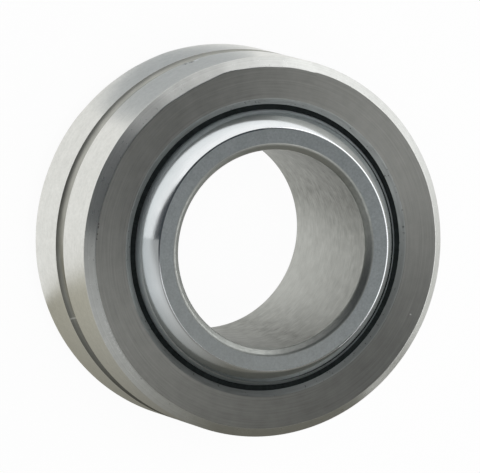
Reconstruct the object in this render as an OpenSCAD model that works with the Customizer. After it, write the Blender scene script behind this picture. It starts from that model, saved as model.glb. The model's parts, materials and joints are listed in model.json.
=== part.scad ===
// Spherical plain bearing: a plated ball with a through bore, free to turn and tilt in a lined steel race.
// The bearing axis is Z, and the origin is the centre of the ball. Sizes are in millimetres.

/* [Ball] */
// Diameter of the spherical surface
ball_d = 30.15; // [28:0.05:32]
// Width across the two end faces
ball_w = 19.05; // [17.5:0.05:21]
// Diameter of the through bore
bore_d = 19.05; // [10:0.05:21]
// Axial depth of the chamfer at each end of the bore
bore_chamfer_depth = 0.5; // [0.2:0.05:1]
// Radial width of the chamfer at each end of the bore
bore_chamfer_run = 0.55; // [0.2:0.05:0.9]
// Width taken off each end face where it meets the sphere
ball_edge_break = 0.12; // [0.05:0.01:0.4]
// Slope of that broken edge, down from the end face
ball_edge_slope = 25; // [15:1:40]

/* [Outer race] */
// Outside diameter
race_od = 36.51; // [35:0.01:42]
// Width across the two end faces
race_w = 15.06; // [12:0.02:16.5]
// Chamfer at each outer edge, the same along the axis and across it
race_chamfer = 0.85; // [0.3:0.05:1.5]
// Axial depth of the bevel at each mouth
mouth_bevel_depth = 0.28; // [0.1:0.02:1]
// Radial width of the bevel at each mouth
mouth_bevel_run = 0.55; // [0.2:0.05:0.8]
// Width of the groove round the outside
groove_w = 2.1; // [1:0.05:4]
// Depth of the groove below the outside diameter
groove_depth = 0.52; // [0.3:0.02:0.8]

/* [Liner] */
// Thickness of the bonded liner
liner_t = 0.42; // [0.2:0.01:0.6]
// Radial running clearance between the liner and the ball
ball_clearance = 0.05; // [0.01:0.01:0.1]

/* [Hidden] */
$fn = 180;

// How far a cutting shape reaches past the face that it cuts
cut_margin = 1;

ball_r = ball_d / 2;
ball_half_w = ball_w / 2;
bore_r = bore_d / 2;
// Where the end face and the sphere would meet in a sharp corner
ball_corner_r = sqrt(ball_r * ball_r - ball_half_w * ball_half_w);

race_r = race_od / 2;
race_half_w = race_w / 2;
// The liner lines the seat, and the ball runs in the liner
liner_bore_r = ball_r + ball_clearance;
seat_r = liner_bore_r + liner_t;
// The spherical seat ends where the mouth's bevel starts
seat_half_w = race_half_w - mouth_bevel_depth;
mouth_r = sqrt(seat_r * seat_r - seat_half_w * seat_half_w);
// An arc through both edges of the groove and its deepest point
groove_arc_r = (groove_w * groove_w / 4 + groove_depth * groove_depth) / (2 * groove_depth);

// Repeats a shape at both ends of the bearing
module at_both_ends() {
    for (end = [0, 1]) mirror([0, 0, end]) children();
}

// A ring's cutter: a cone from radius r_in at height z_in, to r_out at z_out and straight on past the face
module mouth_cutter(r_in, z_in, r_out, z_out) {
    rotate_extrude() polygon([
        [0, z_in], [r_in, z_in], [r_out, z_out], [r_out, z_out + cut_margin], [0, z_out + cut_margin]
    ]);
}

// Outside of the race before it is hollowed: a disc with chamfered edges
module race_blank() {
    face_r = race_r - race_chamfer;
    side_z = race_half_w - race_chamfer;
    rotate_extrude() polygon([
        [0, -race_half_w], [face_r, -race_half_w], [race_r, -side_z],
        [race_r, side_z], [face_r, race_half_w], [0, race_half_w]
    ]);
}

module race_groove() {
    rotate_extrude() translate([race_r - groove_depth + groove_arc_r, 0]) circle(r = groove_arc_r);
}

module outer_race() {
    color("#97968f") difference() {
        race_blank();
        sphere(r = seat_r);
        at_both_ends() mouth_cutter(mouth_r, seat_half_w, mouth_r + mouth_bevel_run, race_half_w);
        race_groove();
    }
}

module liner() {
    color("#131818") difference() {
        intersection() {
            sphere(r = seat_r);
            cylinder(r = seat_r + cut_margin, h = 2 * seat_half_w, center = true);
        }
        sphere(r = liner_bore_r);
    }
}

// Two blunt cones base to base, which trim the sphere to its width and break the edge of each end face
module ball_ends() {
    face_r = ball_corner_r - ball_edge_break;
    skirt_r = ball_r + cut_margin;
    skirt_z = ball_half_w - (skirt_r - face_r) * tan(ball_edge_slope);
    rotate_extrude() polygon([
        [0, -ball_half_w], [face_r, -ball_half_w], [skirt_r, -skirt_z],
        [skirt_r, skirt_z], [face_r, ball_half_w], [0, ball_half_w]
    ]);
}

module ball() {
    chamfer_z = ball_half_w - bore_chamfer_depth;
    color("#c3c8ca") difference() {
        intersection() {
            sphere(r = ball_r);
            ball_ends();
        }
        cylinder(r = bore_r, h = ball_w + 2 * cut_margin, center = true);
        at_both_ends() mouth_cutter(bore_r, chamfer_z, bore_r + bore_chamfer_run, ball_half_w);
    }
}

outer_race();
liner();
ball();
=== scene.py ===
import json
from math import atan2, cos, exp, hypot, pi, radians, sin, sqrt

import bmesh
import bpy
from mathutils import Matrix, Vector


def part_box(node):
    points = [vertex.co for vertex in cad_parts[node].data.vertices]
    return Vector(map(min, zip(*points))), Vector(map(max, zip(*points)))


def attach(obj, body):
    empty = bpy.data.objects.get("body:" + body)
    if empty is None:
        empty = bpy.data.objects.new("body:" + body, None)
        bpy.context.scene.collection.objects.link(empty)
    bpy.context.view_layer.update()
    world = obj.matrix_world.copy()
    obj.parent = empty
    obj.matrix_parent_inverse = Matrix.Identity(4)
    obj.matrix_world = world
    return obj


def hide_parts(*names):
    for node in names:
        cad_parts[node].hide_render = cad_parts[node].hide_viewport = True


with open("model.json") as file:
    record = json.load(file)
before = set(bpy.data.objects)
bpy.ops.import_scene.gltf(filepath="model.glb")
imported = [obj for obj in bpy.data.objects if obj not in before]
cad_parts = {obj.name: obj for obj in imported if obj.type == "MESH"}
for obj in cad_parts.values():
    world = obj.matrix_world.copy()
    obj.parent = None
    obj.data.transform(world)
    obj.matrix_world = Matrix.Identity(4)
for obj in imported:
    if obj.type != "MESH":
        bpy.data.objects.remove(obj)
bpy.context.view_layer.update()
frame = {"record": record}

MM = 0.001
ORIGIN = (0, 0, 0)

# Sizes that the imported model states
fit_sizes = {mount["name"]: mount["dims"] for mount in frame["record"]["mounts"]}
race_r = fit_sizes["housing_seat"]["r_mm"] * MM
bore_r = fit_sizes["bore"]["r_mm"] * MM
race_half_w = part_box("outer_race")[1].z
ball_half_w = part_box("ball")[1].z

# Sizes of the forms that the model's boxes and mounts don't give
ball_r = 15.075 * MM
bore_chamfer_depth = 0.5 * MM
bore_chamfer_run = 0.55 * MM
race_chamfer = 0.85 * MM
mouth_bevel_depth = 0.28 * MM
mouth_bevel_run = 0.55 * MM
groove_half_w = 1.05 * MM
groove_depth = 0.52 * MM
liner_t = 0.42 * MM
ball_clearance = 0.05 * MM

# Roundings of the edges
fine_edge = 0.04 * MM
face_edge = 0.07 * MM
ball_edge = 0.13 * MM
bore_edge = 0.16 * MM
groove_edge = 0.02 * MM
mouth_edge = 0.12 * MM

# Sizes that follow from those
ball_corner_r = sqrt(ball_r ** 2 - ball_half_w ** 2)
liner_bore_r = ball_r + ball_clearance
seat_r = liner_bore_r + liner_t
seat_half_w = race_half_w - mouth_bevel_depth
mouth_r = sqrt(seat_r ** 2 - seat_half_w ** 2)
liner_mouth_r = sqrt(liner_bore_r ** 2 - seat_half_w ** 2)
mouth_top_r = mouth_r + mouth_bevel_run
face_r = race_r - race_chamfer
side_half_w = race_half_w - race_chamfer
groove_arc_r = (groove_half_w ** 2 + groove_depth ** 2) / (2 * groove_depth)

# Where a ring of points is kept on the ground outside, so that the dent stays short
groove_rim = groove_half_w + 0.35 * MM

# Steps round the axis, along the curved parts of a section, and across the rounded edges
TURN_STEPS = 384
BALL_STEPS = 40
SEAT_STEPS = 14
GROOVE_STEPS = 14
FINE_EDGE_STEPS = 3
MOUTH_EDGE_STEPS = 5
BORE_EDGE_STEPS = 5
BALL_EDGE_STEPS = 6

# Points this close are welded, and edges this close lie on a named ring
WELD = 0.0005 * MM
ON_RING = 0.002 * MM

# Edges that turn by less are smoothed, and each ring is enlarged while its faces are weighed
SMOOTH_BELOW = radians(24)
WEIGHING_SCALE = 100.0

# Wander of the chamfers' edges in millimetres: all round, more on one side, and a drift there
WANDER = 0.02
WANDER_SIDE = 0.08
WANDER_DRIFT = -0.13

# The stage: a wide floor, and a wall whose top slopes from a high side to a low one, with one span cut lower
STAGE_R = 2.0
STAGE_STEPS = 96
WALL_H = 0.8
WALL_MIDDLE = 0.353
WALL_SLOPE = 0.375
WALL_HIGH_AZIMUTH = 165
WALL_LOW = 0.215
WALL_LOW_AZIMUTH = 260
WALL_LOW_SLOPE = 0.11
WALL_LOW_SPAN = (240, 300)
CARD_LIFT = 0.1 * MM
SWEEP_WHITE = 0.95
SWEEP_GREY = 0.9

# The photograph's camera: two turns in degrees, its place before them in millimetres, its lens and its reach
CAMERA_TILT = 21.90
CAMERA_TURN = 106.24
CAMERA_PLACE = (0.1824, 0.2840, 1151.27)
CAMERA_LENS = 900
CAMERA_SENSOR = 36
CAMERA_SEES_TO = 50

# Sockets of the Mix node that hold colours
FIRST_COLOUR = 6
SECOND_COLOUR = 7
MIXED_COLOUR = 2

# Turn of the stretched gloss, as a share of a whole one
QUARTER_TURN = 0.25


# Turned pieces

def arc(centre_r, radius, start, end, steps):
    """Points (radius, height) on an arc whose centre lies in the middle plane, both ends included."""
    points = []
    for i in range(steps + 1):
        angle = start + (end - start) * i / steps
        points.append((centre_r + radius * cos(angle), radius * sin(angle)))
    return points


def turn_ring(name, section):
    """Turns a closed section of (radius, height) points round the bearing axis and stays in edit mode."""
    bpy.ops.object.select_all(action="DESELECT")
    at_r, at_z = section[0]
    bpy.ops.mesh.primitive_circle_add(vertices=TURN_STEPS, radius=at_r, location=ORIGIN)
    ring = bpy.context.object
    ring.name = name
    ring.data.name = name
    bpy.ops.object.mode_set(mode="EDIT")
    bpy.ops.mesh.select_mode(type="EDGE")
    bpy.ops.mesh.select_all(action="SELECT")
    bpy.ops.transform.translate(value=(0, 0, at_z))
    for r, z in section[1:] + section[:1]:
        bpy.ops.mesh.extrude_edges_move(TRANSFORM_OT_translate={"value": (0, 0, z - at_z)})
        bpy.ops.transform.resize(value=(r / at_r, r / at_r, 1), center_override=(0, 0, z))
        at_r, at_z = r, z
    bpy.ops.mesh.select_all(action="SELECT")
    bpy.ops.mesh.remove_doubles(threshold=WELD)
    bpy.ops.mesh.normals_make_consistent(inside=False)
    return ring


def break_edges(ring, r, z, size, steps):
    """Rounds the sharp rings at this radius and height, on both sides of the middle plane."""
    bpy.ops.mesh.select_mode(type="EDGE")
    bpy.ops.mesh.select_all(action="DESELECT")
    mesh = bmesh.from_edit_mesh(ring.data)
    for edge in mesh.edges:
        on_ring = [
            abs(hypot(vert.co.x, vert.co.y) - r) < ON_RING and abs(abs(vert.co.z) - z) < ON_RING
            for vert in edge.verts
        ]
        same_side = edge.verts[0].co.z * edge.verts[1].co.z > 0
        edge.select = all(on_ring) and same_side
    bmesh.update_edit_mesh(ring.data)
    bpy.ops.mesh.bevel(offset=size, segments=steps, profile=0.5, affect="EDGES")


def bulge(angle, azimuth, reach):
    """1 at this azimuth, falling off smoothly on both sides over about this many degrees."""
    return exp(-((angle - radians(azimuth)) / radians(reach)) ** 2)


def chamfer_wander(angle, end):
    """How far the edges of a chamfer stray from their circles, most of all on one side of the race."""
    swell = WANDER + WANDER_SIDE * bulge(angle, -140, 38)
    long_waves = sin(9 * angle + 0.4 * end)
    middle_waves = 0.6 * sin(17 * angle + 1.9)
    short_waves = 0.35 * sin(31 * angle + 0.7 * end)
    waves = (long_waves + middle_waves + short_waves) / 1.6
    drift = WANDER_DRIFT * bulge(angle, -130, 45)
    return (swell * waves + drift) * MM


def stray_chamfer_edge(race):
    """Moves both edges of each chamfer by the small amounts that hand finishing leaves; its slope stays."""
    mesh = bmesh.from_edit_mesh(race.data)
    reach = 2 * face_edge
    for vert in mesh.verts:
        r, z = hypot(vert.co.x, vert.co.y), vert.co.z
        end = 1 if z > 0 else -1
        stray = chamfer_wander(atan2(vert.co.y, vert.co.x), end)
        if abs(r - face_r) < reach and abs(abs(z) - race_half_w) < reach:
            vert.co.x *= 1 + stray / r
            vert.co.y *= 1 + stray / r
        elif abs(r - race_r) < reach and abs(abs(z) - side_half_w) < reach:
            vert.co.z += stray * end
    bmesh.update_edit_mesh(race.data)


def dent(ring, azimuth, r, z, reach, depth):
    """Knocks a small dent into an edge, towards the axis."""
    at = polar(azimuth, r, z)
    mesh = bmesh.from_edit_mesh(ring.data)
    for vert in mesh.verts:
        share = 1 - (vert.co - at).length / reach
        if share > 0:
            shrink = 1 - depth * share / r
            vert.co.x *= shrink
            vert.co.y *= shrink
    bmesh.update_edit_mesh(ring.data)


def polar(azimuth, r, z):
    angle = radians(azimuth)
    return Vector((r * cos(angle), r * sin(angle), z))


def finish_zone(ring, material, belongs):
    """Gives a material to the faces for which belongs(radius, height, outward, upward) holds."""
    ring.data.materials.append(material)
    slot = len(ring.data.materials) - 1
    bpy.ops.mesh.select_mode(type="FACE")
    bpy.ops.mesh.select_all(action="DESELECT")
    mesh = bmesh.from_edit_mesh(ring.data)
    for face in mesh.faces:
        middle = face.calc_center_median()
        r = hypot(middle.x, middle.y)
        outward = (face.normal.x * middle.x + face.normal.y * middle.y) / r
        face.select = belongs(r, abs(middle.z), outward, abs(face.normal.z))
    bmesh.update_edit_mesh(ring.data)
    ring.active_material_index = slot
    bpy.ops.object.material_slot_assign()


def resize_ring(scale):
    """Resizes the whole ring in edit mode, from the origin."""
    bpy.ops.mesh.select_all(action="SELECT")
    bpy.ops.transform.resize(value=(scale, scale, scale), center_override=ORIGIN)


def close_ring(ring, body, node):
    """Smooths a turned ring, keeps its flats flat, and puts it in the place of its solid."""
    # The modifier weighs faces by area and drops areas as small as these, so it works on an enlarged ring
    resize_ring(WEIGHING_SCALE)
    bpy.ops.object.mode_set(mode="OBJECT")
    bpy.ops.object.shade_smooth_by_angle(angle=SMOOTH_BELOW)
    bpy.ops.object.modifier_add(type="WEIGHTED_NORMAL")
    ring.modifiers[-1].keep_sharp = True
    bpy.ops.object.modifier_apply(modifier=ring.modifiers[-1].name)
    bpy.ops.object.mode_set(mode="EDIT")
    resize_ring(1 / WEIGHING_SCALE)
    bpy.ops.object.mode_set(mode="OBJECT")
    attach(ring, body)
    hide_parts(node)


# Finishes

def rgb(red, green, blue):
    return (red, green, blue, 1.0)


def add_node(tree, kind, *wires, **settings):
    """Adds a node; wires are (socket, value or output) pairs."""
    node = tree.nodes.new(kind)
    for name, value in settings.items():
        setattr(node, name, value)
    for socket, value in wires:
        if isinstance(value, bpy.types.NodeSocket):
            tree.links.new(value, node.inputs[socket])
        else:
            node.inputs[socket].default_value = value
    return node


class Finish:
    """A surface finish: one Principled shader fed by patterns on the piece's own coordinates."""

    def __init__(self, name, metallic, **values):
        self.material = bpy.data.materials.new(name)
        self.material.use_nodes = True
        self.tree = self.material.node_tree
        self.shader = self.tree.nodes["Principled BSDF"]
        self.shader.inputs["Metallic"].default_value = metallic
        for socket, value in values.items():
            self.shader.inputs[socket.replace("_", " ")].default_value = value
        self.place = self.add("ShaderNodeTexCoord").outputs["Object"]
        split = self.add("ShaderNodeSeparateXYZ", (0, self.place))
        flat = self.add("ShaderNodeVectorMath", (0, self.place), (1, (1, 1, 0)), operation="MULTIPLY")
        from_axis = self.add("ShaderNodeVectorMath", (0, flat.outputs[0]), operation="LENGTH")
        self.radius = from_axis.outputs["Value"]
        self.angle = self.math("ARCTAN2", split.outputs["Y"], split.outputs["X"])
        self.height = split.outputs["Z"]

    def add(self, kind, *wires, **settings):
        return add_node(self.tree, kind, *wires, **settings)

    def feed(self, socket, output):
        self.tree.links.new(output, self.shader.inputs[socket])

    def math(self, operation, first, second=0.0):
        return self.add("ShaderNodeMath", (0, first), (1, second), operation=operation).outputs[0]

    def blend(self, first, second, share):
        """Adds two patterns, the second with this share."""
        return self.math("ADD", self.math("MULTIPLY", first, 1 - share), self.math("MULTIPLY", second, share))

    def noise(self, across, along, detail=2.0, rough=0.5):
        """Noise with features of these sizes across the axis and along it."""
        scale = (1 / across, 1 / across, 1 / along)
        scaled = self.add("ShaderNodeMapping", ("Vector", self.place), ("Scale", scale))
        return self.add(
            "ShaderNodeTexNoise",
            ("Vector", scaled.outputs[0]), ("Scale", 1.0), ("Detail", detail), ("Roughness", rough),
        ).outputs["Fac"]

    def rings(self, pitch, detail=2.0):
        """Noise that changes only with the distance from the axis, as a turning tool leaves it."""
        steps = self.math("MULTIPLY", self.radius, 1 / pitch)
        return self.add(
            "ShaderNodeTexNoise", ("W", steps), ("Scale", 1.0), ("Detail", detail), noise_dimensions="1D"
        ).outputs["Fac"]

    def strokes(self, length, width, measure, detail=2.0):
        """Noise in strokes round the axis, of this length there and of this width in radius or height."""
        turn = self.math("MULTIPLY", self.angle, race_r / length)
        step = self.math("MULTIPLY", measure, 1 / width)
        place = self.add("ShaderNodeCombineXYZ", ("X", turn), ("Y", step))
        return self.add(
            "ShaderNodeTexNoise", ("Vector", place.outputs[0]), ("Scale", 1.0), ("Detail", detail)
        ).outputs["Fac"]

    def spread(self, value, low, high, start=0.3, end=0.7):
        """Maps start..end, unless given the middle of a noise's range, to low..high."""
        return self.add(
            "ShaderNodeMapRange", ("Value", value), ("From Min", start), ("From Max", end),
            ("To Min", low), ("To Max", high),
        ).outputs[0]

    def window(self, value, centre, half):
        """1 where the value is near the centre, fading to 0 at half the width away."""
        away = self.math("ABSOLUTE", self.math("SUBTRACT", value, centre))
        return self.spread(away, 1.0, 0.0, 0.3 * half, half)

    def side(self, azimuth, reach):
        """1 on the side that faces this azimuth, fading to 0 at this many degrees from it."""
        facing = self.math("COSINE", self.math("SUBTRACT", self.angle, radians(azimuth)))
        return self.spread(facing, 0.0, 1.0, cos(radians(reach)), cos(radians(0.3 * reach)))

    def spot(self, azimuth, length, measure, level, width):
        """1 at one place on the piece, of this length round the axis and this width in radius or height."""
        round_axis = self.window(self.angle, radians(azimuth), length / 2 / race_r)
        return self.math("MULTIPLY", round_axis, self.window(measure, level, width / 2))

    def mix_colour(self, share, first, second):
        return self.add(
            "ShaderNodeMix",
            ("Factor", share), (FIRST_COLOUR, first), (SECOND_COLOUR, second), data_type="RGBA",
        ).outputs[MIXED_COLOUR]

    def shades(self, pattern, dark, light):
        """A colour between two, by a noise pattern."""
        return self.mix_colour(self.spread(pattern, 0, 1), dark, light)

    def tint(self, colour, tone, where, share):
        """A colour with a share of another tone where a pattern is 1."""
        return self.mix_colour(self.math("MULTIPLY", where, share), colour, tone)

    def relief(self, height, depth):
        """Bumps the surface by a height pattern of this depth."""
        bump = self.add("ShaderNodeBump", ("Height", height), ("Distance", depth), ("Strength", 1.0))
        old = self.shader.inputs["Normal"]
        if old.is_linked:
            self.tree.links.new(old.links[0].from_socket, bump.inputs["Normal"])
        self.feed("Normal", bump.outputs[0])

    def turned(self, anisotropy):
        """Stretches the gloss across marks that run round the axis."""
        self.shader.inputs["Anisotropic"].default_value = anisotropy
        self.shader.inputs["Anisotropic Rotation"].default_value = QUARTER_TURN
        round_axis = self.add("ShaderNodeTangent", direction_type="RADIAL", axis="Z")
        self.feed("Tangent", round_axis.outputs[0])


# Tones: bottoms of pits and stains, also used for painted shade; bare metal; and painted highlights
PIT_AND_SHADE = rgb(0.05, 0.05, 0.045)
BARE_FLECK = rgb(0.92, 0.92, 0.90)
PAINTED_HIGHLIGHT = rgb(0.72, 0.73, 0.69)


def ground_steel():
    """Outside of the race: bright, with fine grinding round it, soft clouding and knocks at its edges."""
    finish = Finish("race_ground_steel", 1.0)
    clouds = finish.noise(1.1 * MM, 0.9 * MM, 4.0, 0.6)
    lines = finish.strokes(5 * MM, 0.16 * MM, finish.height, 3.0)
    grain = finish.noise(0.3 * MM, 0.45 * MM, 3.0, 0.6)
    tone = finish.blend(finish.blend(clouds, lines, 0.45), grain, 0.4)
    colour = finish.shades(tone, rgb(0.645, 0.65, 0.612), rgb(0.815, 0.815, 0.775))
    ragged = finish.spread(finish.noise(0.22 * MM, 0.3 * MM, 3.0, 0.7), 0, 1, 0.4, 0.56)
    for azimuth, length, width in ((-143.5, 0.6, 0.8), (-145.2, 0.95, 1.0)):
        pit = finish.spot(azimuth, length * MM, finish.height, groove_half_w + 0.42 * MM, width * MM)
        colour = finish.tint(colour, PIT_AND_SHADE, pit, ragged)
    fleck = finish.spot(-147.1, 0.6 * MM, finish.height, groove_half_w + 0.5 * MM, 0.8 * MM)
    colour = finish.mix_colour(fleck, colour, BARE_FLECK)
    scratch = finish.spot(-26.5, 2.6 * MM, finish.height, side_half_w - 0.05 * MM, 0.3 * MM)
    colour = finish.tint(colour, PIT_AND_SHADE, scratch, 0.7)
    finish.feed("Base Color", colour)
    finish.feed("Roughness", finish.spread(tone, 0.36, 0.28))
    finish.relief(lines, 0.0015 * MM)
    finish.turned(0.5)
    return finish.material


def groove_steel():
    """Floor of the groove: darker, with painted shade in its corners, a painted highlight on one side,
    painted shade on another, and a light tick drawn across it.
    """
    finish = Finish("race_groove_steel", 1.0)
    lines = finish.strokes(3 * MM, 0.12 * MM, finish.height, 3.0)
    clouds = finish.noise(1.2 * MM, 0.8 * MM, 3.0)
    tone = finish.blend(lines, clouds, 0.45)
    colour = finish.shades(tone, rgb(0.30, 0.30, 0.268), rgb(0.415, 0.413, 0.373))
    from_middle = finish.math("ABSOLUTE", finish.height)
    corners = finish.spread(from_middle, 0.0, 1.0, 0.5 * groove_half_w, groove_half_w)
    # Painted shade: the groove's corners are darkened
    colour = finish.tint(colour, PIT_AND_SHADE, corners, 0.25)
    # Painted highlight on one side of the groove and painted shade on another
    colour = finish.tint(colour, PAINTED_HIGHLIGHT, finish.side(-160, 75), 0.3)
    colour = finish.tint(colour, PIT_AND_SHADE, finish.side(-25, 50), 0.35)
    tick = finish.spot(-49.7, 0.22 * MM, finish.height, 0, 4 * groove_half_w)
    colour = finish.tint(colour, rgb(0.62, 0.62, 0.58), tick, 0.7)
    finish.feed("Base Color", colour)
    dull = finish.math("MULTIPLY", corners, 0.18)
    finish.feed("Roughness", finish.math("ADD", finish.spread(tone, 0.35, 0.28), dull))
    finish.relief(lines, 0.0015 * MM)
    finish.turned(0.3)
    return finish.material


def chamfer_steel():
    """Outer chamfers: bright, clouded, with scuffs and dark nicks along their inner edges."""
    finish = Finish("race_chamfer_steel", 1.0)
    marks = finish.rings(0.14 * MM, 3.0)
    clouds = finish.noise(0.9 * MM, 0.9 * MM, 4.0, 0.6)
    tone = finish.blend(marks, clouds, 0.6)
    colour = finish.shades(tone, rgb(0.68, 0.69, 0.665), rgb(0.82, 0.83, 0.805))
    flecks = finish.noise(0.22 * MM, 0.22 * MM, 2.0)
    worn_edge = finish.window(finish.radius, face_r + 0.05 * MM, 0.32 * MM)
    worn_side = finish.window(finish.angle, radians(-44), radians(16))
    scuffs = finish.math("MULTIPLY", worn_side, finish.spread(flecks, 0, 1, 0.52, 0.6))
    colour = finish.tint(colour, BARE_FLECK, worn_edge, scuffs)
    nicks = finish.math("MULTIPLY", worn_edge, finish.spread(flecks, 0, 0.4, 0.65, 0.72))
    colour = finish.mix_colour(nicks, colour, PIT_AND_SHADE)
    finish.feed("Base Color", colour)
    finish.feed("Roughness", finish.spread(tone, 0.34, 0.26))
    finish.relief(marks, 0.0012 * MM)
    finish.relief(clouds, 0.002 * MM)
    finish.turned(0.4)
    return finish.material


def face_steel():
    """End faces of the race: fine turning marks, painted shade on one side, a painted highlight on another,
    and nicks by the chamfer.
    """
    finish = Finish("race_face_steel", 1.0)
    marks = finish.rings(0.20 * MM, 4.0)
    strokes = finish.strokes(4 * MM, 0.13 * MM, finish.radius, 3.0)
    clouds = finish.noise(1.4 * MM, 1.4 * MM, 4.0, 0.6)
    lines = finish.blend(marks, strokes, 0.6)
    tone = finish.blend(lines, clouds, 0.35)
    colour = finish.shades(tone, rgb(0.33, 0.33, 0.307), rgb(0.48, 0.48, 0.45))
    # Painted shade on one side of the face and a painted highlight on another
    colour = finish.tint(colour, PIT_AND_SHADE, finish.side(40, 62), 0.16)
    colour = finish.tint(colour, PAINTED_HIGHLIGHT, finish.side(140, 50), 0.1)
    for azimuth, length in ((-82.4, 0.22), (-81.4, 0.34), (-79.2, 0.2), (-77.6, 0.2)):
        pit = finish.spot(azimuth, length * MM, finish.radius, face_r - 0.06 * MM, 0.3 * MM)
        colour = finish.mix_colour(pit, colour, PIT_AND_SHADE)
    fleck = finish.spot(82, 0.2 * MM, finish.radius, 16.4 * MM, 0.24 * MM)
    colour = finish.mix_colour(fleck, colour, BARE_FLECK)
    finish.feed("Base Color", colour)
    finish.feed("Roughness", finish.spread(tone, 0.42, 0.33))
    finish.relief(lines, 0.002 * MM)
    finish.turned(0.75)
    return finish.material


def mouth_steel():
    """Bevel round each mouth of the race: smoother, with a painted highlight on one side, painted shade on
    another and a few dark specks.
    """
    finish = Finish("race_mouth_steel", 1.0)
    marks = finish.strokes(2 * MM, 0.1 * MM, finish.height, 3.0)
    specks = finish.noise(0.3 * MM, 0.3 * MM, 2.0)
    colour = finish.shades(marks, rgb(0.47, 0.49, 0.48), rgb(0.59, 0.615, 0.60))
    # Painted highlight on one side of the bevel and painted shade on another
    colour = finish.tint(colour, PAINTED_HIGHLIGHT, finish.side(70, 50), 0.5)
    colour = finish.tint(colour, PIT_AND_SHADE, finish.side(-12, 48), 0.6)
    colour = finish.mix_colour(finish.spread(specks, 0, 0.6, 0.66, 0.72), colour, PIT_AND_SHADE)
    for azimuth, length in ((113.3, 0.3), (110.9, 0.14)):
        pit = finish.spot(azimuth, length * MM, finish.radius, mouth_top_r - 0.15 * MM, 0.26 * MM)
        colour = finish.tint(colour, PIT_AND_SHADE, pit, 0.6)
    finish.feed("Base Color", colour)
    finish.feed("Roughness", finish.spread(marks, 0.50, 0.42))
    finish.relief(marks, 0.001 * MM)
    finish.turned(0.3)
    return finish.material


def liner_weave():
    """Black woven lining between the race and the ball."""
    finish = Finish("liner_fabric_weave", 0.0, Specular_IOR_Level=0.12)
    threads = finish.strokes(0.3 * MM, 0.16 * MM, finish.height, 2.0)
    colour = finish.shades(threads, rgb(0.003, 0.0045, 0.0045), rgb(0.011, 0.014, 0.014))
    finish.feed("Base Color", colour)
    finish.feed("Roughness", finish.spread(threads, 0.6, 0.85))
    finish.relief(threads, 0.02 * MM)
    return finish.material


def polished_chrome():
    """Sphere of the ball: bright, faintly smeared, with a painted dark reflection and duller gloss beside the
    lining, scuffed along one side.
    """
    finish = Finish("ball_polished_chrome", 1.0)
    smears = finish.noise(2.0 * MM, 1.2 * MM, 3.0)
    polish = finish.strokes(3 * MM, 0.1 * MM, finish.height, 2.0)
    tone = finish.blend(smears, polish, 0.35)
    colour = finish.shades(tone, rgb(0.82, 0.85, 0.862), rgb(0.91, 0.935, 0.945))
    from_middle = finish.math("ABSOLUTE", finish.height)
    # Painted dark reflection: the sphere is darkened beside the lining
    painted_dark_reflection = finish.spread(from_middle, 1.0, 0.0, seat_half_w + 0.5 * MM, seat_half_w + 1.9 * MM)
    colour = finish.tint(colour, rgb(0.09, 0.18, 0.20), painted_dark_reflection, 0.35)
    scuffs = finish.strokes(1.1 * MM, 0.09 * MM, finish.height, 2.0)
    scuffed_line = finish.window(finish.height, seat_half_w + 0.5 * MM, 0.12 * MM)
    scuffed_line = finish.math("MULTIPLY", scuffed_line, finish.side(-20, 62))
    scuffed_line = finish.math("MULTIPLY", scuffed_line, finish.spread(scuffs, 0.2, 1.0))
    colour = finish.mix_colour(scuffed_line, colour, BARE_FLECK)
    finish.feed("Base Color", colour)
    dulled = finish.spread(from_middle, 0.46, 0.0, seat_half_w + 0.25 * MM, seat_half_w + 0.7 * MM)
    dulled = finish.math("ADD", dulled, finish.math("MULTIPLY", scuffed_line, 0.3))
    finish.feed("Roughness", finish.math("ADD", finish.spread(smears, 0.13, 0.09), dulled))
    finish.relief(polish, 0.0004 * MM)
    return finish.material


def satin_chrome():
    """Flat ends of the ball: satin, finely speckled, with a painted highlight on one side and painted shade
    on the other.
    """
    finish = Finish("ball_satin_face", 1.0)
    grain = finish.noise(0.2 * MM, 0.2 * MM, 4.0, 0.6)
    clouds = finish.noise(1.6 * MM, 1.6 * MM, 3.0)
    tone = finish.blend(grain, clouds, 0.3)
    colour = finish.shades(tone, rgb(0.395, 0.428, 0.434), rgb(0.555, 0.594, 0.60))
    # Painted highlight on one side of the flats and painted shade on the other
    colour = finish.tint(colour, PAINTED_HIGHLIGHT, finish.side(0, 80), 0.25)
    colour = finish.tint(colour, PIT_AND_SHADE, finish.side(-160, 80), 0.1)
    finish.feed("Base Color", colour)
    finish.feed("Roughness", finish.spread(tone, 0.48, 0.40))
    finish.relief(grain, 0.003 * MM)
    return finish.material


def bore_steel(name, dark, light, rough, stroke, width, highlight_azimuth, highlight_reach, highlight_share):
    """Bore of the ball and its chamfers: dull, with short strokes round the hole and a painted highlight on
    one side.
    """
    finish = Finish(name, 1.0)
    streaks = finish.strokes(stroke, width, finish.height, 4.0)
    clouds = finish.noise(0.9 * MM, 0.9 * MM, 4.0, 0.6)
    tone = finish.blend(streaks, clouds, 0.45)
    colour = finish.shades(tone, dark, light)
    # Painted highlight: one side of the bore is lightened
    highlight_side = finish.side(highlight_azimuth, highlight_reach)
    colour = finish.tint(colour, PAINTED_HIGHLIGHT, highlight_side, highlight_share)
    finish.feed("Base Color", colour)
    finish.feed("Roughness", finish.spread(tone, rough + 0.06, rough - 0.06))
    finish.relief(streaks, 0.015 * width)
    finish.turned(0.5)
    return finish.material


# The three pieces

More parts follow.
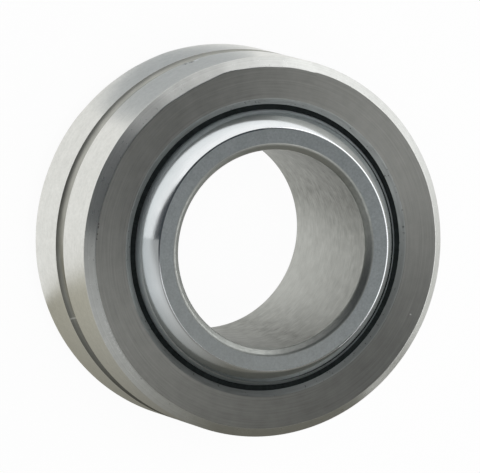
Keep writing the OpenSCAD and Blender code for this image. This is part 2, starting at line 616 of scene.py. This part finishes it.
def make_race():
    groove_centre_r = race_r - groove_depth + groove_arc_r
    groove_reach = atan2(groove_half_w, groove_arc_r - groove_depth)
    groove = arc(groove_centre_r, groove_arc_r, pi - groove_reach, pi + groove_reach, GROOVE_STEPS)
    seat_reach = atan2(seat_half_w, mouth_r)
    seat = arc(0, seat_r, -seat_reach, seat_reach, SEAT_STEPS)
    upper = [(mouth_top_r, race_half_w), (face_r, race_half_w), (race_r, side_half_w), (race_r, groove_rim)]
    lower = [(r, -z) for r, z in reversed(upper)]
    race = turn_ring("outer_race_turned", upper + groove + lower + seat)

    break_edges(race, face_r, race_half_w, face_edge, FINE_EDGE_STEPS)
    break_edges(race, race_r, side_half_w, fine_edge, FINE_EDGE_STEPS)
    break_edges(race, race_r, groove_half_w, groove_edge, FINE_EDGE_STEPS)
    break_edges(race, mouth_top_r, race_half_w, mouth_edge, MOUTH_EDGE_STEPS)
    stray_chamfer_edge(race)
    dent(race, azimuth=-146.2, r=race_r, z=groove_half_w, reach=0.6 * MM, depth=0.08 * MM)

    finish_zone(race, ground_steel(), lambda r, z, outward, upward: True)
    finish_zone(
        race, groove_steel(),
        lambda r, z, outward, upward: z < groove_half_w and r > face_r,
    )
    finish_zone(
        race, chamfer_steel(),
        lambda r, z, outward, upward: z > side_half_w - fine_edge and outward > 0.3 and upward > 0.1,
    )
    finish_zone(race, face_steel(), lambda r, z, outward, upward: upward > 0.95 and z > seat_half_w)
    finish_zone(race, mouth_steel(), lambda r, z, outward, upward: outward < -0.2)
    close_ring(race, "race", "outer_race")


def make_liner():
    back_reach = atan2(seat_half_w, mouth_r)
    front_reach = atan2(seat_half_w, liner_mouth_r)
    back = arc(0, seat_r, back_reach, -back_reach, SEAT_STEPS)
    front = arc(0, liner_bore_r, -front_reach, front_reach, SEAT_STEPS)
    liner = turn_ring("liner_turned", back + front)
    finish_zone(liner, liner_weave(), lambda r, z, outward, upward: True)
    close_ring(liner, "race", "liner")


def make_ball():
    reach = atan2(ball_half_w, ball_corner_r)
    sphere = arc(0, ball_r, reach, -reach, BALL_STEPS)
    bore_end = ball_half_w - bore_chamfer_depth
    bore_mouth_r = bore_r + bore_chamfer_run
    inside = [
        (bore_mouth_r, -ball_half_w), (bore_r, -bore_end), (bore_r, bore_end), (bore_mouth_r, ball_half_w)
    ]
    ball = turn_ring("ball_turned", sphere + inside)

    break_edges(ball, ball_corner_r, ball_half_w, ball_edge, BALL_EDGE_STEPS)
    break_edges(ball, bore_mouth_r, ball_half_w, bore_edge, BORE_EDGE_STEPS)
    break_edges(ball, bore_r, bore_end, bore_edge, BORE_EDGE_STEPS)

    bore = bore_steel(
        "ball_bore", dark=rgb(0.245, 0.25, 0.229), light=rgb(0.425, 0.43, 0.398), rough=0.50,
        stroke=2.4 * MM, width=0.18 * MM, highlight_azimuth=84, highlight_reach=44, highlight_share=0.55,
    )
    bore_chamfer = bore_steel(
        "ball_bore_chamfer", dark=rgb(0.40, 0.416, 0.396), light=rgb(0.56, 0.577, 0.547), rough=0.38,
        stroke=0.8 * MM, width=0.12 * MM, highlight_azimuth=-152, highlight_reach=58, highlight_share=0.95,
    )
    finish_zone(ball, polished_chrome(), lambda r, z, outward, upward: True)
    finish_zone(ball, satin_chrome(), lambda r, z, outward, upward: upward > 0.97)
    finish_zone(ball, bore, lambda r, z, outward, upward: outward < -0.995)
    finish_zone(ball, bore_chamfer, lambda r, z, outward, upward: -0.995 < outward < -0.02)
    close_ring(ball, "ball", "ball")


# Stage, light and camera

def white_sweep():
    """Pale floor and wall: white to the camera and in the metal, a little dimmed by the bearing's shadow."""
    material = bpy.data.materials.new("white_sweep")
    material.use_nodes = True
    tree = material.node_tree
    tree.nodes.clear()
    white = add_node(tree, "ShaderNodeEmission", ("Strength", 1.0))
    shaded = add_node(tree, "ShaderNodeBsdfDiffuse", ("Color", rgb(SWEEP_GREY, SWEEP_GREY, SWEEP_GREY)))
    ray = add_node(tree, "ShaderNodeLightPath").outputs
    seen = add_node(
        tree, "ShaderNodeMath", (0, ray["Is Camera Ray"]), (1, ray["Is Glossy Ray"]), operation="MAXIMUM"
    )
    seen_through = add_node(
        tree, "ShaderNodeMath", (0, seen.outputs[0]), (1, ray["Is Transmission Ray"]), operation="MAXIMUM"
    )
    share = add_node(
        tree, "ShaderNodeMath", (0, seen_through.outputs[0]), (1, SWEEP_WHITE), operation="MULTIPLY"
    )
    sweep = add_node(
        tree, "ShaderNodeMixShader", (0, share.outputs[0]), (1, shaded.outputs[0]), (2, white.outputs[0])
    )
    # From below, the floor is clear, so that the underside can be seen
    side = add_node(tree, "ShaderNodeNewGeometry")
    clear = add_node(tree, "ShaderNodeBsdfTransparent")
    one_sided = add_node(
        tree, "ShaderNodeMixShader",
        (0, side.outputs["Backfacing"]), (1, sweep.outputs[0]), (2, clear.outputs[0]),
    )
    add_node(tree, "ShaderNodeOutputMaterial", ("Surface", one_sided.outputs[0]))
    return material


def make_sweep():
    """A wide floor with a low white wall round it."""
    white = white_sweep()
    bpy.ops.object.select_all(action="DESELECT")
    bpy.ops.mesh.primitive_circle_add(
        vertices=STAGE_STEPS, radius=STAGE_R, fill_type="NGON", location=(0, 0, -ball_half_w)
    )
    floor = bpy.context.object
    floor.name = "floor"
    floor.data.materials.append(white)

    bpy.ops.object.select_all(action="DESELECT")
    bpy.ops.mesh.primitive_cylinder_add(
        vertices=STAGE_STEPS, radius=STAGE_R, depth=WALL_H, end_fill_type="NOTHING",
        location=(0, 0, WALL_H / 2 - ball_half_w),
    )
    wall = bpy.context.object
    wall.name = "wall"
    bpy.ops.object.mode_set(mode="EDIT")
    bpy.ops.mesh.select_all(action="SELECT")
    bpy.ops.mesh.flip_normals()
    slope = WALL_SLOPE / STAGE_R
    high_side = radians(WALL_HIGH_AZIMUTH)
    bpy.ops.mesh.bisect(
        plane_co=(0, 0, WALL_MIDDLE),
        plane_no=(-slope * cos(high_side), -slope * sin(high_side), 1),
        clear_outer=True,
    )
    mesh = bmesh.from_edit_mesh(wall.data)
    low_from, low_to = WALL_LOW_SPAN
    for face in mesh.faces:
        middle = face.calc_center_median()
        azimuth = atan2(middle.y, middle.x) % (2 * pi)
        face.select_set(radians(low_from) < azimuth < radians(low_to))
    bmesh.update_edit_mesh(wall.data)
    bpy.ops.mesh.split()
    low_side = radians(WALL_LOW_AZIMUTH)
    bpy.ops.mesh.bisect(
        plane_co=(STAGE_R * cos(low_side), STAGE_R * sin(low_side), WALL_LOW),
        plane_no=(-WALL_LOW_SLOPE * sin(low_side), WALL_LOW_SLOPE * cos(low_side), 1),
        clear_outer=True,
    )
    bpy.ops.object.mode_set(mode="OBJECT")
    wall.data.materials.append(white)


def card_paper(name, low_tones, high_tones, sides=(0, 1), heights=(0, 1)):
    """A card's paper, shaded from side to side, with one pair of tones at its foot and another higher up."""
    material = bpy.data.materials.new(name)
    material.use_nodes = True
    tree = material.node_tree
    tree.nodes.clear()
    place = add_node(tree, "ShaderNodeTexCoord")
    split = add_node(tree, "ShaderNodeSeparateXYZ", (0, place.outputs["Object"]))

    def share(axis, span):
        return add_node(
            tree, "ShaderNodeMapRange",
            ("Value", split.outputs[axis]), ("From Min", span[0]), ("From Max", span[1]),
        ).outputs[0]

    def shade(part, first, second):
        return add_node(
            tree, "ShaderNodeMix",
            (0, part), (FIRST_COLOUR, first), (SECOND_COLOUR, second), data_type="RGBA",
        ).outputs[MIXED_COLOUR]

    across = share("Y", sides)
    tone = shade(share("Z", heights), shade(across, *low_tones), shade(across, *high_tones))
    glow = add_node(tree, "ShaderNodeEmission", ("Color", tone))
    add_node(tree, "ShaderNodeOutputMaterial", ("Surface", glow.outputs[0]))
    return material


def hide_card(card, paper):
    """Leaves a card to be seen only in the metal."""
    card.data.materials.append(paper)
    card.visible_camera = False
    card.visible_shadow = False
    card.visible_diffuse = False


def lay_card(name, azimuth, near, far, width, paper):
    """Lays a card on the floor beside the bearing, from one distance to another."""
    bpy.ops.object.select_all(action="DESELECT")
    bpy.ops.mesh.primitive_plane_add(size=1, location=ORIGIN)
    card = bpy.context.object
    card.name = name
    bpy.ops.object.mode_set(mode="EDIT")
    bpy.ops.mesh.select_all(action="SELECT")
    bpy.ops.transform.resize(value=(far - near, width, 1))
    bpy.ops.transform.translate(value=((near + far) / 2, 0, CARD_LIFT - ball_half_w))
    bpy.ops.object.mode_set(mode="OBJECT")
    card.rotation_euler = (0, 0, radians(azimuth))
    hide_card(card, paper)


def stand_card(name, distance, left, right, foot, top, paper):
    """Stands a card upright on the +X side of the bearing, between two places along Y and two heights."""
    bpy.ops.object.select_all(action="DESELECT")
    bpy.ops.mesh.primitive_plane_add(size=1, rotation=(0, -pi / 2, 0), location=ORIGIN)
    card = bpy.context.object
    card.name = name
    bpy.ops.object.transform_apply(location=False, rotation=True, scale=False)
    bpy.ops.object.mode_set(mode="EDIT")
    bpy.ops.mesh.select_all(action="SELECT")
    bpy.ops.transform.resize(value=(1, right - left, top - foot))
    bpy.ops.transform.translate(value=(distance, (left + right) / 2, (foot + top) / 2))
    bpy.ops.object.mode_set(mode="OBJECT")
    hide_card(card, paper)


def make_cards():
    shade = rgb(0.15, 0.145, 0.125)
    warm_tones = (rgb(0.51, 0.493, 0.425), shade)
    warm = card_paper("warm_paper", warm_tones, warm_tones, sides=(-22 * MM, 4 * MM))
    pale_low = (rgb(0.66, 0.67, 0.675), shade)
    pale_high = (rgb(0.33, 0.335, 0.335), rgb(0.20, 0.197, 0.18))
    pale = card_paper(
        "pale_paper", pale_low, pale_high, sides=(-30 * MM, 4 * MM), heights=(9.5 * MM, 15 * MM)
    )
    cool_tones = (rgb(0.475, 0.50, 0.525),) * 2
    grey_tones = (rgb(0.62, 0.62, 0.60),) * 2
    cool = card_paper("cool_paper", cool_tones, cool_tones)
    grey = card_paper("grey_paper", grey_tones, grey_tones)
    lay_card("warm_card", azimuth=0, near=12 * MM, far=27 * MM, width=220 * MM, paper=warm)
    stand_card(
        "pale_card", distance=27 * MM, left=-110 * MM, right=52 * MM,
        foot=-ball_half_w, top=50 * MM, paper=pale,
    )
    lay_card("cool_card", azimuth=212, near=19 * MM, far=35 * MM, width=22 * MM, paper=cool)
    lay_card("grey_card", azimuth=75, near=34 * MM, far=194 * MM, width=80 * MM, paper=grey)


def softbox(name, azimuth, elevation, distance, width, height, radiance):
    """An area lamp that faces the bearing from this direction; azimuth is from +X towards +Y, in degrees."""
    lamp = bpy.data.lights.new(name, "AREA")
    lamp.shape = "RECTANGLE"
    lamp.size = width
    lamp.size_y = height
    lamp.energy = radiance * pi * width * height
    holder = bpy.data.objects.new(name, lamp)
    bpy.context.collection.objects.link(holder)
    rise = radians(elevation)
    away = polar(azimuth, cos(rise), sin(rise))
    holder.location = away * distance
    holder.rotation_euler = (-away).to_track_quat("-Z", "Y").to_euler()
    holder.visible_camera = False
    return holder


def make_lights():
    world = bpy.data.worlds.new("studio_room")
    bpy.context.scene.world = world
    world.use_nodes = True
    room = world.node_tree.nodes["Background"]
    room.inputs["Color"].default_value = rgb(0.9, 1.0, 1.1)
    room.inputs["Strength"].default_value = 0.055
    softbox(
        "back_softbox", azimuth=126, elevation=28, distance=0.5, width=0.95, height=0.36, radiance=1.0
    )
    softbox(
        "front_softbox", azimuth=8, elevation=65, distance=0.6, width=0.62, height=0.25, radiance=0.72
    )
    softbox(
        "top_softbox", azimuth=80, elevation=74, distance=0.6, width=0.45, height=0.45, radiance=0.27
    )
    overhead = softbox(
        "overhead_key", azimuth=-90, elevation=80, distance=0.8, width=0.5, height=0.5, radiance=5.0
    )
    overhead.visible_glossy = False


def make_camera():
    lens = bpy.data.cameras.new("photo_camera")
    lens.lens = CAMERA_LENS
    lens.sensor_width = CAMERA_SENSOR
    lens.clip_end = CAMERA_SEES_TO
    camera = bpy.data.objects.new("photo_camera", lens)
    bpy.context.collection.objects.link(camera)
    tilt = Matrix.Rotation(radians(CAMERA_TILT), 3, "X")
    turn = Matrix.Rotation(radians(CAMERA_TURN), 3, "Z")
    stand = tilt @ turn
    camera.location = stand @ Vector(CAMERA_PLACE) * MM
    camera.rotation_euler = stand.to_euler()
    bpy.context.scene.camera = camera


make_camera()
make_race()
make_liner()
make_ball()
make_sweep()
make_cards()
make_lights()
bpy.context.scene.view_settings.view_transform = "Standard"
